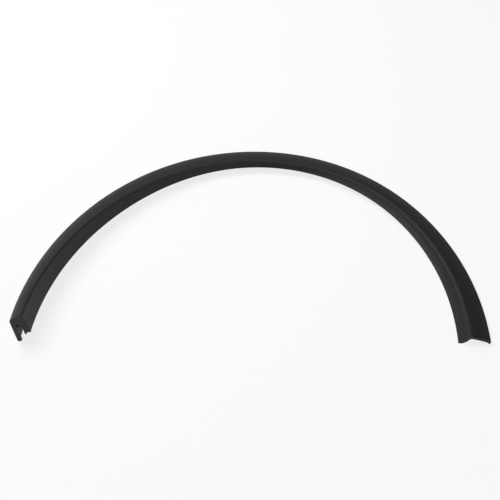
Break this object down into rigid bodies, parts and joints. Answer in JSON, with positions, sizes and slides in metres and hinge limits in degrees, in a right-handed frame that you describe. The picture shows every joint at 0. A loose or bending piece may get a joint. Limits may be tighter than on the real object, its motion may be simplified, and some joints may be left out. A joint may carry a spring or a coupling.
{
  "type": "wheel arch trim",
  "caption": "Black moulded wheel arch trim: a half-oval channel, deep and closed with a notched wall at one end, tapering to a thin open edge at the other, with clip seats behind.",
  "frame": {"origin": "under the middle of the box, on the plane of the back edges", "axes": "+X across the wheel opening towards the thin end, +Y towards the crown, +Z outboard"},
  "size_m": [0.8598, 0.504, 0.0776],
  "materials": {
    "trim": "fine moulded grain, satin matte"
  },
  "bodies": {
    "root": {"wheel_arch_trim": "trim"}
  },
  "joints": []
}
